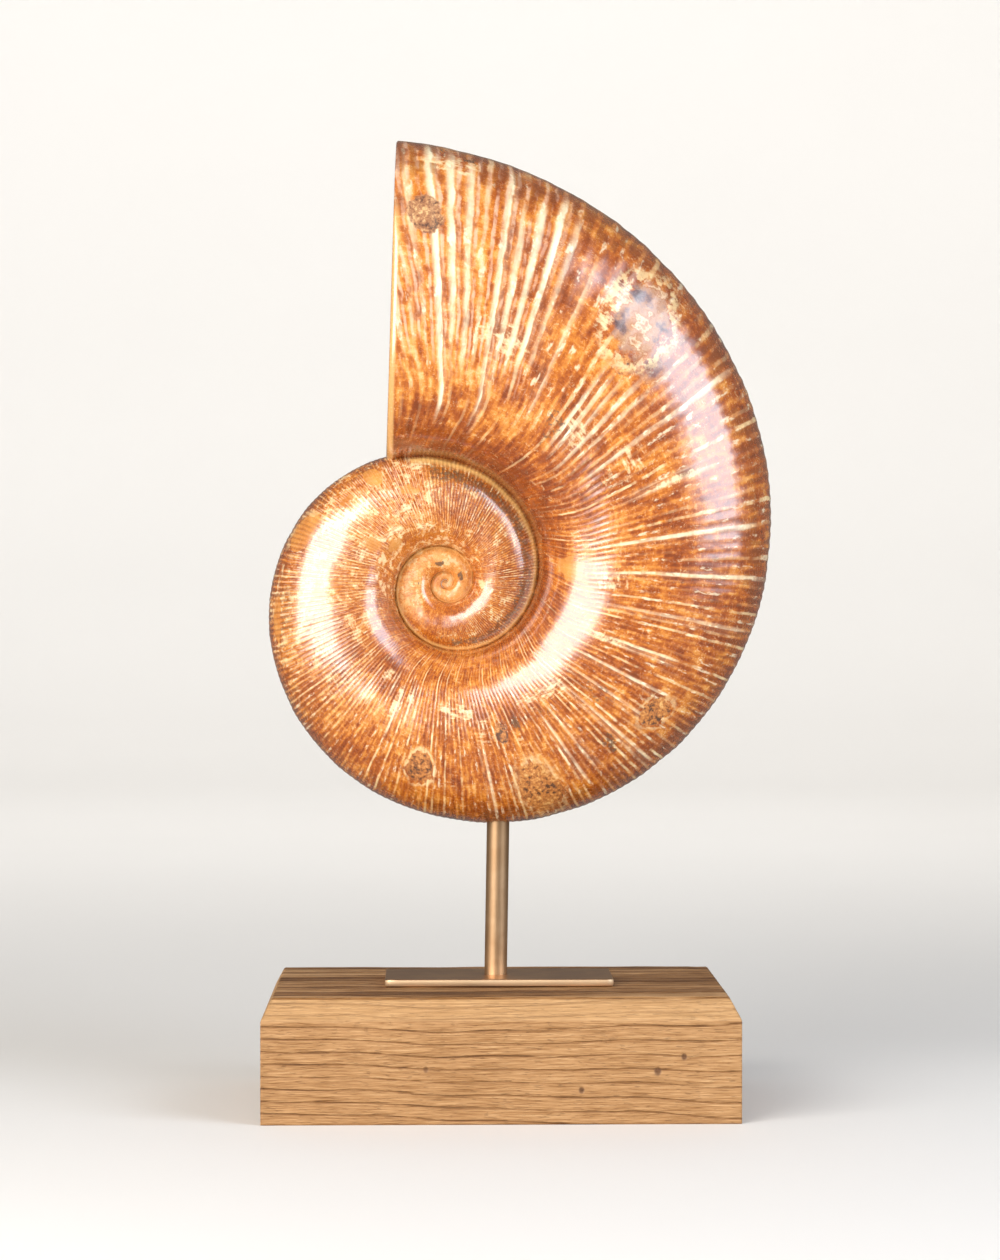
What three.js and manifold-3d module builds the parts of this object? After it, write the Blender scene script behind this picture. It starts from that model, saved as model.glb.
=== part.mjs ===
// A Lytoceras ammonite held up on a brass rod over a chamfered oak block.
// Millimetres, +Z up, +X to the right, the viewer at -Y. The origin is the centre of the
// block's underside.
import * as THREE from 'three';
import Module from 'manifold-3d';

// Parts that touch keep this much air between their solids.
const GAP = 0.3;

// Oak block: its four top edges are planed off, more along the front and back than at the ends.
const BASE_WIDTH = 204;
const BASE_DEPTH = 130;
const BASE_HEIGHT = 53;
const BASE_CHAMFER = 9;
const BASE_END_CHAMFER = 4.7;

// Brass plate lying on the block, with the rod's hole in its middle.
const PLATE_WIDTH = 100;
const PLATE_DEPTH = 42;
const PLATE_THICKNESS = 3;
const PLATE_CORNER = 1;

// Brass rod: it leans a little, and its top end sits in a socket drilled in the fossil.
const ROD_RADIUS = 5;
const ROD_FOOT_X = -1.3;
const ROD_LEAN = THREE.MathUtils.degToRad(0.93);
const ROD_TOP = 166;
const ROD_SIDES = 40;

// Ammonite: a logarithmic spiral about an axis along Y. Angles are in degrees, counter-clockwise
// from +X as the viewer sees them, and grow towards the cut end.
const COIL_X = -23.4;
const COIL_Z = 229.7;
const CUT_RADIUS = 196.5;
const CUT_ANGLE = 96.3;
const GROWTH = 0.003406;
const WHORL_RATIO = Math.exp(GROWTH * 360);

// The cut is one flat face that leans by this slope, its foot a little to the left.
const CUT_SLOPE = 0.028;

// Across a whorl, 0 is the venter of the whorl inside it and 1 is its own venter. The next whorl
// covers what lies beyond SEAM, and CREST is where the whorl is thickest.
const SEAM = 0.95;
const CREST = 0.42;
const INNER_POWER = 2.4;
const OUTER_POWER = 2.1;

// Whorl thickness over whorl height: young whorls are nearly round, the last is flatter.
const CUT_ASPECT = 0.6;
const YOUNG_ASPECT_GAIN = 0.35;
const ASPECT_FADE = 250;

// Ribs: two columns of points to each, and near the seam they bend towards the cut end.
const RIBS_PER_TURN = 72;
const COLUMNS = 2 * RIBS_PER_TURN;
const STEP = 360 / COLUMNS;
const TURNS = 3;
const RIB_HEIGHT = 0.0022;
const BEND_COLUMNS = 3;
const BEND_REACH = 0.2;
const CUT_FADE = 75;

// Points across the exposed whorl, the next one in, and the youngest.
const OUTER_ROWS = [0, 0.035, 0.11, 0.24, 0.42, 0.62, 0.82, SEAM, 1];
const MIDDLE_ROWS = [0, 0.07, 0.24, 0.42, 0.62, SEAM];
const INNER_ROWS = [0, 0.26, SEAM];

const LAST = TURNS * COLUMNS;
const EXPOSED_FROM = LAST - COLUMNS + BEND_COLUMNS;
const FRONT = -1;
const BACK = 1;

const plateTop = BASE_HEIGHT + GAP + PLATE_THICKNESS;
const rodFoot = BASE_HEIGHT + GAP;

const wasm = await Module();
wasm.setup();

function finish(color, roughness, metalness) {
  return new THREE.MeshStandardMaterial({ color, roughness, metalness });
}

function meshGeometry(positions, triangles) {
  const geometry = new THREE.BufferGeometry();
  geometry.setAttribute('position', new THREE.Float32BufferAttribute(positions, 3));
  geometry.setIndex(triangles);
  return geometry;
}

// A box with its four top edges cut off flat: three rings of four corners, one above the other.
function oakBlock() {
  const ring = (width, depth, z) => [
    [-width / 2, -depth / 2, z],
    [width / 2, -depth / 2, z],
    [width / 2, depth / 2, z],
    [-width / 2, depth / 2, z],
  ];
  const corners = [
    ...ring(BASE_WIDTH, BASE_DEPTH, 0),
    ...ring(BASE_WIDTH, BASE_DEPTH, BASE_HEIGHT - BASE_CHAMFER),
    ...ring(BASE_WIDTH - 2 * BASE_END_CHAMFER, BASE_DEPTH - 2 * BASE_CHAMFER, BASE_HEIGHT),
  ];
  const triangles = [0, 2, 1, 0, 3, 2, 8, 9, 10, 8, 10, 11];
  for (let side = 0; side < 4; side += 1) {
    const next = (side + 1) % 4;
    for (const low of [0, 4]) {
      const high = low + 4;
      triangles.push(low + side, low + next, high + next);
      triangles.push(low + side, high + next, high + side);
    }
  }
  return meshGeometry(corners.flat(), triangles);
}

// A flat plate with slightly eased corners and the rod's hole.
function brassPlate() {
  const x = PLATE_WIDTH / 2 - PLATE_CORNER;
  const y = PLATE_DEPTH / 2 - PLATE_CORNER;
  const outline = new THREE.Shape();
  outline.absarc(x, y, PLATE_CORNER, 0, Math.PI / 2);
  outline.absarc(-x, y, PLATE_CORNER, Math.PI / 2, Math.PI);
  outline.absarc(-x, -y, PLATE_CORNER, Math.PI, 1.5 * Math.PI);
  outline.absarc(x, -y, PLATE_CORNER, 1.5 * Math.PI, 2 * Math.PI);
  const hole = new THREE.Path();
  hole.absarc(ROD_FOOT_X, 0, ROD_RADIUS + GAP, 0, 2 * Math.PI, true);
  outline.holes.push(hole);
  return new THREE.ExtrudeGeometry(outline, {
    depth: PLATE_THICKNESS,
    bevelEnabled: false,
    curveSegments: 8,
  });
}

// A cylinder along the rod's leaning axis, from one height to another.
function alongRod(radius, bottom, top) {
  const length = (top - bottom) / Math.cos(ROD_LEAN);
  const geometry = new THREE.CylinderGeometry(radius, radius, length, ROD_SIDES);
  geometry.rotateX(Math.PI / 2);
  geometry.translate(0, 0, length / 2);
  geometry.rotateY(ROD_LEAN);
  geometry.translate(ROD_FOOT_X + (bottom - rodFoot) * Math.tan(ROD_LEAN), 0, bottom);
  return geometry;
}

const venterRadius = (angle) => CUT_RADIUS * Math.exp(GROWTH * (angle - CUT_ANGLE));
const columnAngle = (column) => CUT_ANGLE - (LAST - column) * STEP;
const smooth = (x) => THREE.MathUtils.smoothstep(x, 0, 1);

// Forward bend of the ribs, in degrees: BEND_COLUMNS steps at the seam, none past BEND_REACH.
function ribBend(across) {
  const inside = Math.max(0, 1 - across / BEND_REACH);
  return BEND_COLUMNS * STEP * inside * inside;
}

// Distance from the coiling axis and from the middle plane, before the ribs.
function section(angle, across) {
  const venter = venterRadius(angle);
  const height = venter * (1 - 1 / WHORL_RATIO);
  const young = 1 - Math.exp((angle - CUT_ANGLE) / ASPECT_FADE);
  const half = 0.5 * height * (CUT_ASPECT + YOUNG_ASPECT_GAIN * young);
  const inward = across < CREST;
  const reach = inward ? (CREST - across) / CREST : (across - CREST) / (1 - CREST);
  const power = inward ? INNER_POWER : OUTER_POWER;
  const depth = half * Math.sqrt(Math.max(0, 1 - reach ** power));
  return new THREE.Vector2(venter / WHORL_RATIO + across * height, depth);
}

// The same point pushed along the section's outward normal by the rib relief.
function ribbedSection(angle, across, column) {
  const point = section(angle, across);
  const side = column % 2 === 0 ? 1 : -1;
  const fade = smooth(across / 0.1) * (across < SEAM ? smooth((SEAM - across) / 0.1) : 1);
  const relief = side * fade * RIB_HEIGHT * venterRadius(angle);
  if (across === 1) {
    return new THREE.Vector2(point.x + side * RIB_HEIGHT * venterRadius(angle), 0);
  }
  const along = section(angle, across + 0.01).sub(section(angle, across - 0.01)).normalize();
  return point.add(new THREE.Vector2(-along.y, along.x).multiplyScalar(relief));
}

// How far a point lies past the cut plane, in X.
function pastCut(angle, radius) {
  const turn = THREE.MathUtils.degToRad(angle);
  const top = THREE.MathUtils.degToRad(CUT_ANGLE);
  const x = radius * Math.cos(turn) - CUT_RADIUS * Math.cos(top);
  const z = radius * Math.sin(turn) - CUT_RADIUS * Math.sin(top);
  return x - CUT_SLOPE * z;
}

// The angle at which a row of the whorl meets the cut plane, found by halving a range.
function cutAngle(across, column, turnsBack) {
  let low = CUT_ANGLE - 20;
  let high = CUT_ANGLE + 60;
  for (let i = 0; i < 40; i += 1) {
    const middle = (low + high) / 2;
    const radius = ribbedSection(middle - 360 * turnsBack, across, column).x;
    if (pastCut(middle, radius) > 0) {
      low = middle;
    } else {
      high = middle;
    }
  }
  return low - 360 * turnsBack;
}

// Columns turn into the cut plane as they come near it, on the last whorl and along the seam
// that its end makes on the whorl inside.
function pointAngle(column, across) {
  const plain = columnAngle(column) + ribBend(across);
  const ahead = (LAST - column) * STEP;
  if (ahead < CUT_FADE) {
    const full = cutAngle(across, column, 0) - CUT_ANGLE - ribBend(across);
    return plain + full * smooth(1 - ahead / CUT_FADE);
  }
  const beside = Math.abs(column - EXPOSED_FROM) * STEP;
  if (beside < CUT_FADE) {
    const level = Math.min(1, across / SEAM) ** 2;
    const full = cutAngle(Math.max(across, SEAM), column, 1) - columnAngle(EXPOSED_FROM);
    return plain + full * level * smooth(1 - beside / CUT_FADE);
  }
  return plain;
}

function rowsOf(column) {
  if (column >= EXPOSED_FROM) {
    return OUTER_ROWS;
  }
  return column >= EXPOSED_FROM - COLUMNS ? MIDDLE_ROWS : INNER_ROWS;
}

function ammoniteMesh() {
  const positions = [];
  const triangles = [];
  const known = new Map();

  function addPoint(x, y, z) {
    positions.push(x, y, z);
    return positions.length / 3 - 1;
  }

  // A whorl's inner edge is the seam on the whorl one turn back, and both sides share the venter.
  // The youngest whorl's inner edge lies where the seam on one more whorl would be.
  function vertex(column, across, side) {
    const inner = column - COLUMNS + BEND_COLUMNS;
    if (across === 0 && inner >= 0) {
      return vertex(inner, SEAM, side);
    }
    const key = `${column} ${across} ${across === 1 ? 0 : side}`;
    if (!known.has(key)) {
      const angle = pointAngle(column, across);
      const inHeart = across === 0;
      const point = inHeart ? section(angle - 360, SEAM) : ribbedSection(angle, across, column);
      const turn = THREE.MathUtils.degToRad(angle);
      const x = COIL_X + point.x * Math.cos(turn);
      const z = COIL_Z + point.x * Math.sin(turn);
      known.set(key, addPoint(x, side * point.y, z));
    }
    return known.get(key);
  }

  function addTriangle(a, b, c, side) {
    triangles.push(...(side === FRONT ? [a, b, c] : [a, c, b]));
  }

  // The strip between two columns, whose rows may differ in number.
  function addStrip(column, side) {
    const limit = column < EXPOSED_FROM ? SEAM : 1;
    const near = rowsOf(column);
    const far = rowsOf(column + 1).filter((across) => across <= limit);
    let i = 0;
    let j = 0;
    while (i < near.length - 1 || j < far.length - 1) {
      const stepNear = j === far.length - 1 || (i < near.length - 1 && near[i + 1] <= far[j + 1]);
      const a = vertex(column, near[i], side);
      const b = vertex(column + 1, far[j], side);
      if (stepNear) {
        addTriangle(a, vertex(column, near[i + 1], side), b, side);
        i += 1;
      } else {
        addTriangle(a, vertex(column + 1, far[j + 1], side), b, side);
        j += 1;
      }
    }
  }

  // A fan closes the middle of the coil, inside the youngest whorl.
  function addHeart(side) {
    const first = section(columnAngle(0), CREST);
    const middle = addPoint(COIL_X, side * first.y, COIL_Z);
    const rim = [...rowsOf(0)].reverse().map((across) => vertex(0, across, side));
    for (let column = 1; column < COLUMNS - BEND_COLUMNS; column += 1) {
      rim.push(vertex(column, 0, side));
    }
    rim.forEach((point, i) => {
      addTriangle(middle, point, rim[(i + 1) % rim.length], side);
    });
  }

  // The flat cut end: up the front, over the venter, down the back, and round the whorl inside.
  function addCutFace() {
    const flank = (side) => OUTER_ROWS.map((across) => [LAST, across, side]);
    const under = OUTER_ROWS.filter((across) => across > SEAM);
    const arc = (side) => under.map((across) => [EXPOSED_FROM, across, side]);
    const outline = [
      ...flank(FRONT),
      ...flank(BACK).reverse().slice(1),
      ...arc(BACK),
      ...arc(FRONT).reverse().slice(1),
    ].map(([column, across, side]) => vertex(column, across, side));
    const flat = outline.map((i) => new THREE.Vector2(positions[3 * i + 1], positions[3 * i + 2]));
    for (const [a, b, c] of THREE.ShapeUtils.triangulateShape(flat, [])) {
      const facesLeft = THREE.ShapeUtils.area([flat[a], flat[b], flat[c]]) < 0;
      addTriangle(outline[a], outline[b], outline[c], facesLeft ? FRONT : BACK);
    }
  }

  for (const side of [FRONT, BACK]) {
    for (let column = 0; column < LAST; column += 1) {
      addStrip(column, side);
    }
    addHeart(side);
  }
  addCutFace();
  return { positions, triangles };
}

function asSolid(positions, triangles) {
  return new wasm.Manifold(new wasm.Mesh({
    numProp: 3,
    vertProperties: new Float32Array(positions),
    triVerts: new Uint32Array(triangles),
  }));
}

// Points at the same place become one, and triangles keep their order.
function solidOf(geometry) {
  const places = new Map();
  const positions = [];
  const source = geometry.getAttribute('position');
  const index = [...geometry.getIndex().array].map((i) => {
    const place = [source.getX(i), source.getY(i), source.getZ(i)];
    const key = place.map((value) => value.toFixed(4)).join(' ');
    if (!places.has(key)) {
      places.set(key, positions.length / 3);
      positions.push(...place);
    }
    return places.get(key);
  });
  return asSolid(positions, index);
}

function drilledAmmonite() {
  const { positions, triangles } = ammoniteMesh();
  const venterBelow = COIL_Z - venterRadius(-90);
  const drill = solidOf(alongRod(ROD_RADIUS + GAP, venterBelow - 20, ROD_TOP + GAP));
  const result = asSolid(positions, triangles).subtract(drill).getMesh();
  return meshGeometry([...result.vertProperties], [...result.triVerts]);
}

function place(name, geometry, material, z = 0) {
  const mesh = new THREE.Mesh(geometry, material);
  mesh.name = name;
  mesh.position.z = z;
  return mesh;
}

const model = new THREE.Group();
model.add(place('base', oakBlock(), finish(0xb88a5c, 0.6, 0)));
model.add(place('plate', brassPlate(), finish(0xb39458, 0.4, 1), plateTop - PLATE_THICKNESS));
model.add(place('rod', alongRod(ROD_RADIUS, rodFoot, ROD_TOP), finish(0xc39a55, 0.3, 1)));
model.add(place('ammonite', drilledAmmonite(), finish(0xb4713a, 0.25, 0)));

export default model;
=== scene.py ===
# %% [markdown]
# # A polished ammonite on a brass rod
#
# The object is a sectioned *Lytoceras* shell, polished to a shine, standing on a brass rod. The
# rod rises from a small brass plate on a block of pale oak. The solids come from a CAD model.
# Each one is replaced here by a finer surface of the same size, and each gets its own finish.

# %% Load the CAD model
import math

import bpy
import numpy as np
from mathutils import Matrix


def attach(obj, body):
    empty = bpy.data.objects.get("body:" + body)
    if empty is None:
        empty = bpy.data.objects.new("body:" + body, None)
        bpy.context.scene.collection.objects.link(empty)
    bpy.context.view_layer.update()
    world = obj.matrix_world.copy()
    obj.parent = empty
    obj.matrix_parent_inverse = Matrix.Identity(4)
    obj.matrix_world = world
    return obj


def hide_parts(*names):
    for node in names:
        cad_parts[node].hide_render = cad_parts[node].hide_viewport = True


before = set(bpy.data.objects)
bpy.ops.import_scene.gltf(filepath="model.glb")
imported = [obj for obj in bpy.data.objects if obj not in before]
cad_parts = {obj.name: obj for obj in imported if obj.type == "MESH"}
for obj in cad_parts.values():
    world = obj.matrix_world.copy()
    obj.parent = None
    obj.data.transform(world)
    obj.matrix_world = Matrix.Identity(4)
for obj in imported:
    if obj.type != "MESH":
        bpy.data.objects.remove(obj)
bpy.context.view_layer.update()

MM = 0.001

# %% [markdown]
# ## The camera
#
# The photograph was taken from about a metre and a half away, level with the middle of the
# shell. Place, turn and lens were fitted to the block's edges and the shell's outline together.
# A long lens keeps the sides of the block nearly parallel, as they are in the photograph.


# %% Camera
def in_scene(name, data):
    """A new object that holds the data, linked to the scene."""
    thing = bpy.data.objects.new(name, data)
    bpy.context.scene.collection.objects.link(thing)
    return thing


lens = bpy.data.cameras.new("camera")
lens.sensor_fit = "HORIZONTAL"
lens.sensor_width = 36
lens.lens = 113.8
camera = in_scene("camera", lens)
camera.location = (-28.4 * MM, -1400 * MM, 222 * MM)
camera.rotation_euler = (math.radians(90 - 0.54), 0, math.radians(-1.19))
bpy.context.scene.camera = camera
bpy.context.scene.view_settings.view_transform = "Standard"
print("camera:", tuple(camera.location))

# %% [markdown]
# ## Surfaces from grids
#
# Every piece here is a row of closed rings, with a point at each end or with its last ring
# joined to its first. So one helper makes them all: it joins neighbouring rings with quads, and
# turns the faces round if the volume that they enclose comes out negative.


# %% Helpers that turn rings of points into a mesh
def ring_faces(rings, around, joined):
    """Quads between ring i and ring i + 1, and round each ring from its last point to its first."""
    i, j = np.meshgrid(np.arange(rings if joined else rings - 1), np.arange(around), indexing="ij")
    far, beside = (i + 1) % rings, (j + 1) % around
    corners = (i * around + j, i * around + beside, far * around + beside, far * around + j)
    return np.stack(corners, -1).reshape(-1, 4)


def fan_faces(centre, ring, around):
    """Triangles from one centre point to each side of a ring."""
    j = np.arange(around)
    return np.stack([np.full(around, centre), ring * around + (j + 1) % around,
                     ring * around + j], -1)


def enclosed_volume(points, triangles):
    """Sum of the signed volumes of the tetrahedra from the origin to each triangle."""
    a, b, c = (points[triangles[:, k]] for k in range(3))
    return float(np.einsum("ij,ij->", a, np.cross(b, c))) / 6


def smooth_mesh(name, points, faces):
    """A mesh from points and the corners of each face, shaded smooth."""
    mesh = bpy.data.meshes.new(name)
    mesh.from_pydata(points.tolist(), [], faces)
    mesh.polygons.foreach_set("use_smooth", np.ones(len(mesh.polygons), bool))
    return mesh


def add_piece(name, rings, ends=None, uv=None, values=None):
    """A mesh from rings of points (rings, around, 3), closed by its two end points if given.

    uv (rings, around, 2) and values {name: (rings, around)} are stored for the finishes. The
    end points take theirs from the ring next to them.
    """
    count, around = rings.shape[:2]
    points = rings.reshape(-1, 3)
    quads = ring_faces(count, around, ends is None)
    fans = np.zeros((0, 3), int)
    if ends is not None:
        points = np.vstack([points, ends])
        first, last = count * around, count * around + 1
        fans = np.vstack([fan_faces(first, 0, around),
                          fan_faces(last, count - 1, around)[:, ::-1]])
    triangles = np.vstack([quads[:, :3], quads[:, [0, 2, 3]], fans])
    if enclosed_volume(points, triangles) < 0:
        quads, fans = quads[:, ::-1], fans[:, ::-1]
    mesh = smooth_mesh(name, points, quads.tolist() + fans.tolist())

    def with_ends(grid):
        flat = grid.reshape(count * around, -1)
        if ends is None:
            return flat
        return np.vstack([flat, flat[:1], flat[-1:]])

    if uv is not None:
        corner = np.zeros(len(mesh.loops), int)
        mesh.loops.foreach_get("vertex_index", corner)
        layer = mesh.uv_layers.new(name="along")
        layer.data.foreach_set("uv", with_ends(uv)[corner].ravel())
    for key, grid in (values or {}).items():
        attribute = mesh.attributes.new(key, "FLOAT", "POINT")
        attribute.data.foreach_set("value", with_ends(grid).ravel())
    print(f"{name}: {len(points)} points, {len(triangles)} triangles")
    return in_scene(name, mesh)


# %% [markdown]
# ## Shader sums as plain arithmetic
#
# A finish is a network of nodes. Written one node at a time it is long and hard to read, so a
# small class wraps a socket. Adding or multiplying two of them adds the Math node.


# %% A value and a finish
class Value:
    """A socket that arithmetic can be done on: each operation adds one Math node."""

    def __init__(self, finish, socket):
        self.finish = finish
        self.socket = socket

    def math(self, operation, *numbers):
        return self.finish.add("ShaderNodeMath", {"operation": operation},
                               dict(enumerate(numbers)))

    def __add__(self, other):
        return self.math("ADD", self, other)

    __radd__ = __add__

    def __sub__(self, other):
        return self.math("SUBTRACT", self, other)

    def __rsub__(self, other):
        return self.math("SUBTRACT", other, self)

    def __mul__(self, other):
        return self.math("MULTIPLY", self, other)

    __rmul__ = __mul__

    def __pow__(self, other):
        return self.math("POWER", self, other)

    def sine(self):
        return self.math("SINE", self)

    def fraction(self):
        return self.math("FRACT", self)

    def whole(self):
        return self.math("FLOOR", self)

    def kept_within(self, low=0.0, high=1.0):
        return self.math("MINIMUM", self.math("MAXIMUM", self, low), high)

    def step(self, low, high):
        """0 up to low, 1 from high on, with a smooth rise between; low may be the larger."""
        sockets = {"Value": self, "From Min": low, "From Max": high}
        return self.finish.add("ShaderNodeMapRange", {"interpolation_type": "SMOOTHSTEP"}, sockets)


class Finish:
    """A material whose nodes are added by name, settings and sockets."""

    def __init__(self, name, **constants):
        self.material = bpy.data.materials.new(name)
        self.material.use_nodes = True
        self.tree = self.material.node_tree
        self.shader = self.tree.nodes["Principled BSDF"]
        for socket, number in constants.items():
            self.shader.inputs[socket.replace("_", " ")].default_value = number
        self.place = self.add("ShaderNodeTexCoord", output=3)

    def add(self, kind, settings=None, sockets=None, output=0):
        node = self.tree.nodes.new(kind)
        for key, setting in (settings or {}).items():
            if key == "stops":
                self.set_stops(node.color_ramp, setting)
            else:
                setattr(node, key, setting)
        for key, number in (sockets or {}).items():
            if isinstance(number, Value):
                self.tree.links.new(number.socket, node.inputs[key])
            else:
                node.inputs[key].default_value = number
        return Value(self, node.outputs[output])

    def set_stops(self, ramp, stops):
        while len(ramp.elements) < len(stops):
            ramp.elements.new(1.0)
        for element, (position, color) in zip(ramp.elements, stops):
            element.position = position
            element.color = (*color, 1)

    def noise(self, scale, detail=2.0, roughness=0.5, where=None):
        sockets = {"Vector": where or self.place, "Scale": scale, "Detail": detail,
                   "Roughness": roughness}
        return self.add("ShaderNodeTexNoise", {}, sockets)

    def chance(self, number):
        """A random number from 0 to 1 for each whole number."""
        return self.add("ShaderNodeTexWhiteNoise", {"noise_dimensions": "1D"}, {"W": number})

    def parts(self, vector):
        return [self.add("ShaderNodeSeparateXYZ", {}, {0: vector}, k) for k in range(3)]

    def joined(self, x, y, z=0.0):
        return self.add("ShaderNodeCombineXYZ", {}, {"X": x, "Y": y, "Z": z})

    def ramp(self, value, stops):
        return self.add("ShaderNodeValToRGB", {"stops": stops}, {0: value})

    def stored(self, name):
        return self.add("ShaderNodeAttribute", {"attribute_name": name}, output=2)

    def mix(self, factor, low, high):
        """The colour low where the factor is 0, high where it is 1, and a blend between."""
        colors = [c if isinstance(c, Value) else (*c, 1) for c in (low, high)]
        return self.add("ShaderNodeMix", {"data_type": "RGBA"},
                        {0: factor, 6: colors[0], 7: colors[1]}, 2)

    def wear(self, **links):
        """Links to the shader: Base_Color, Roughness, Coat_Weight and a height in mm."""
        height = links.pop("height", None)
        if height is not None:
            links["Normal"] = self.add("ShaderNodeBump", {},
                                       {"Distance": MM, "Strength": 1.0, "Height": height})
        for name, value in links.items():
            self.tree.links.new(value.socket, self.shader.inputs[name.replace("_", " ")])

    def finish_piece(self, piece, slot, node):
        piece.data.materials.clear()
        piece.data.materials.append(self.material)
        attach(piece, "root")
        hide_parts(node)


# %% [markdown]
# ## The shape of the shell
#
# An ammonite grows by adding to its open end, always in the same proportion, so its outer edge
# is a logarithmic spiral: each turn of the coil is 3.4 times as large as the one before it. The
# whorl's cross-section is an egg shape that grows with it. A subdivided, sculpted mesh could
# carry the ribs, but a formula is exact: carry the egg shape along the spiral, and everything
# falls into place. Neighbouring whorls overlap a little, and a fine seam is left between them.

# %% Measures of the coil, in millimetres and degrees
COIL_X, COIL_Z = -23.4, 229.7
CUT_RADIUS, CUT_ANGLE = 196.5, 96.3
GROWTH = 0.003406
WHORL_RATIO = math.exp(GROWTH * 360)
CUT_SLOPE = 0.028
CREST, OVERLAP = 0.42, 0.02
INNER_POWER, OUTER_POWER = 2.4, 2.1
CUT_ASPECT, YOUNG_ASPECT_GAIN, ASPECT_FADE = 0.6, 0.35, 250
CUT_FADE = 75


def venter_radius(angle):
    """Outer edge of the whorl: the radius at the cut times e to the growth times the angle."""
    return CUT_RADIUS * np.exp(GROWTH * (angle - CUT_ANGLE))


def egg(angle, across):
    """Distance from the axis and from the middle plane, at 0 to 1 across the whorl.

    The distance from the axis grows evenly. The depth is the half thickness times the square
    root of 1 - reach to a power, with reach 0 at the crest and 1 at either edge.
    """
    venter = venter_radius(angle)
    height = venter * (1 - 1 / WHORL_RATIO)
    gain = YOUNG_ASPECT_GAIN * (1 - np.exp((angle - CUT_ANGLE) / ASPECT_FADE))
    inside = across < CREST
    reach = np.where(inside, (CREST - across) / (CREST + OVERLAP), (across - CREST) / (1 - CREST))
    power = np.where(inside, INNER_POWER, OUTER_POWER)
    depth = 0.5 * height * (CUT_ASPECT + gain) * np.sqrt(np.clip(1 - reach ** power, 0, 1))
    return venter / WHORL_RATIO + across * height, depth


def smooth(x):
    """A smooth rise from 0 to 1."""
    x = np.clip(x, 0, 1)
    return x * x * (3 - 2 * x)


def past_cut(angle, radius):
    """How far a point lies beyond the flat cut, in millimetres along X."""
    turn, top = np.radians(angle), math.radians(CUT_ANGLE)
    x = radius * np.cos(turn) - CUT_RADIUS * math.cos(top)
    z = radius * np.sin(turn) - CUT_RADIUS * math.sin(top)
    return x - CUT_SLOPE * z


def cut_angle(across):
    """The angle at which each line along the whorl meets the cut, by halving a range."""
    low = np.full_like(across, CUT_ANGLE - 20)
    high = np.full_like(across, CUT_ANGLE + 60)
    for _ in range(40):
        middle = (low + high) / 2
        before = past_cut(middle, egg(middle, across)[0]) > 0
        low, high = np.where(before, middle, low), np.where(before, high, middle)
    return low


# %% [markdown]
# The grid has one ring for each half degree of the last whorl, and wider steps further in. On
# each ring the points crowd towards the venter, the seam and the rim beside it, because that is
# where the surface turns fastest. Near the cut the rings lean over until the last one is flat.
# At the other end they reach in to the axis, so that no hole is left through the middle.

# %% The grid of the shell
OUTER_STEPS = np.sin(np.radians(np.arange(1, 12) * 7.5)) ** (1 / 1.05)
INNER_STEPS = np.sin(np.radians(np.arange(1, 11) * 8.18)) ** (1 / 1.2)
outer = CREST + (1 - CREST) * OUTER_STEPS
inner = CREST - (CREST + OVERLAP) * INNER_STEPS
flank = np.sort(np.concatenate([inner, [CREST], outer, [0.862, 0.905, 0.943]]))
across_ring = np.concatenate([[-OVERLAP], flank, [1], flank[::-1]])
side_ring = np.concatenate([[0], -np.ones(len(flank)), [0], np.ones(len(flank))])
near_side = np.concatenate([-np.ones(len(flank) + 1), np.ones(len(flank) + 1)])

COIL_END, FILL_FROM, FILL_WITHIN = 1530, 1120, 60
near_cut = np.array([0, 0.12, 0.26, 0.42, 0.6, 0.8])
STEP_AT, STEP_SIZES = (0, 830, 1330, 1700), (0.46, 0.46, 1.15, 2.9)
steps = np.interp(np.arange(STEP_AT[-1]), STEP_AT, STEP_SIZES)
behind = np.concatenate([near_cut, near_cut[-1] + np.cumsum(steps)])
behind = behind[behind < COIL_END]
print("rings:", len(behind), "points on each:", len(across_ring))

# %% Place of each grid point: its angle, its distance from the axis and its depth
across = np.broadcast_to(across_ring, (len(behind), len(across_ring)))
lean = (cut_angle(across_ring) - CUT_ANGLE) * smooth(1 - behind[:, None] / CUT_FADE)
angle = CUT_ANGLE - behind[:, None] + lean
radius, depth = egg(angle, across)
crest_radius = egg(angle, np.full_like(across, CREST))[0]
seam_radius = egg(angle, np.full_like(across, -OVERLAP))[0]
fill = smooth((behind[:, None] - FILL_FROM) / FILL_WITHIN)
stretch = 1 + fill * seam_radius / (crest_radius - seam_radius)
radius = np.where(across < CREST, crest_radius - (crest_radius - radius) * stretch, radius)
turns = CUT_ANGLE - angle


# %% [markdown]
# ## Ribs
#
# Fine raised ribs run from the seam over the venter, about two degrees apart. They bend forward
# as they reach the seam. What matters for both relief and colour is a count of ribs: a number
# that grows by one from rib to rib. Relief is then the cosine of that count, and the finish
# reads the same count from the UV map, so the pale lines lie exactly on the ribs.

# %% Rib count at each point
BEND, BEND_REACH = 10, 0.22
PERIOD_AT = (-30, 0, 35, 60, 90, 180, 270, 360, 1440)
PERIODS = (2.9, 2.9, 2.7, 2.2, 1.8, 1.6, 1.9, 2.0, 2.2)
LEAN_AT = (-30, 40, 65, 95, 125, 190, 215, 250, 300, 1440)
LEANS = (1.5, 1.5, 0, -3.5, 0, -1, -2.5, -1, 0, 0)

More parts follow.
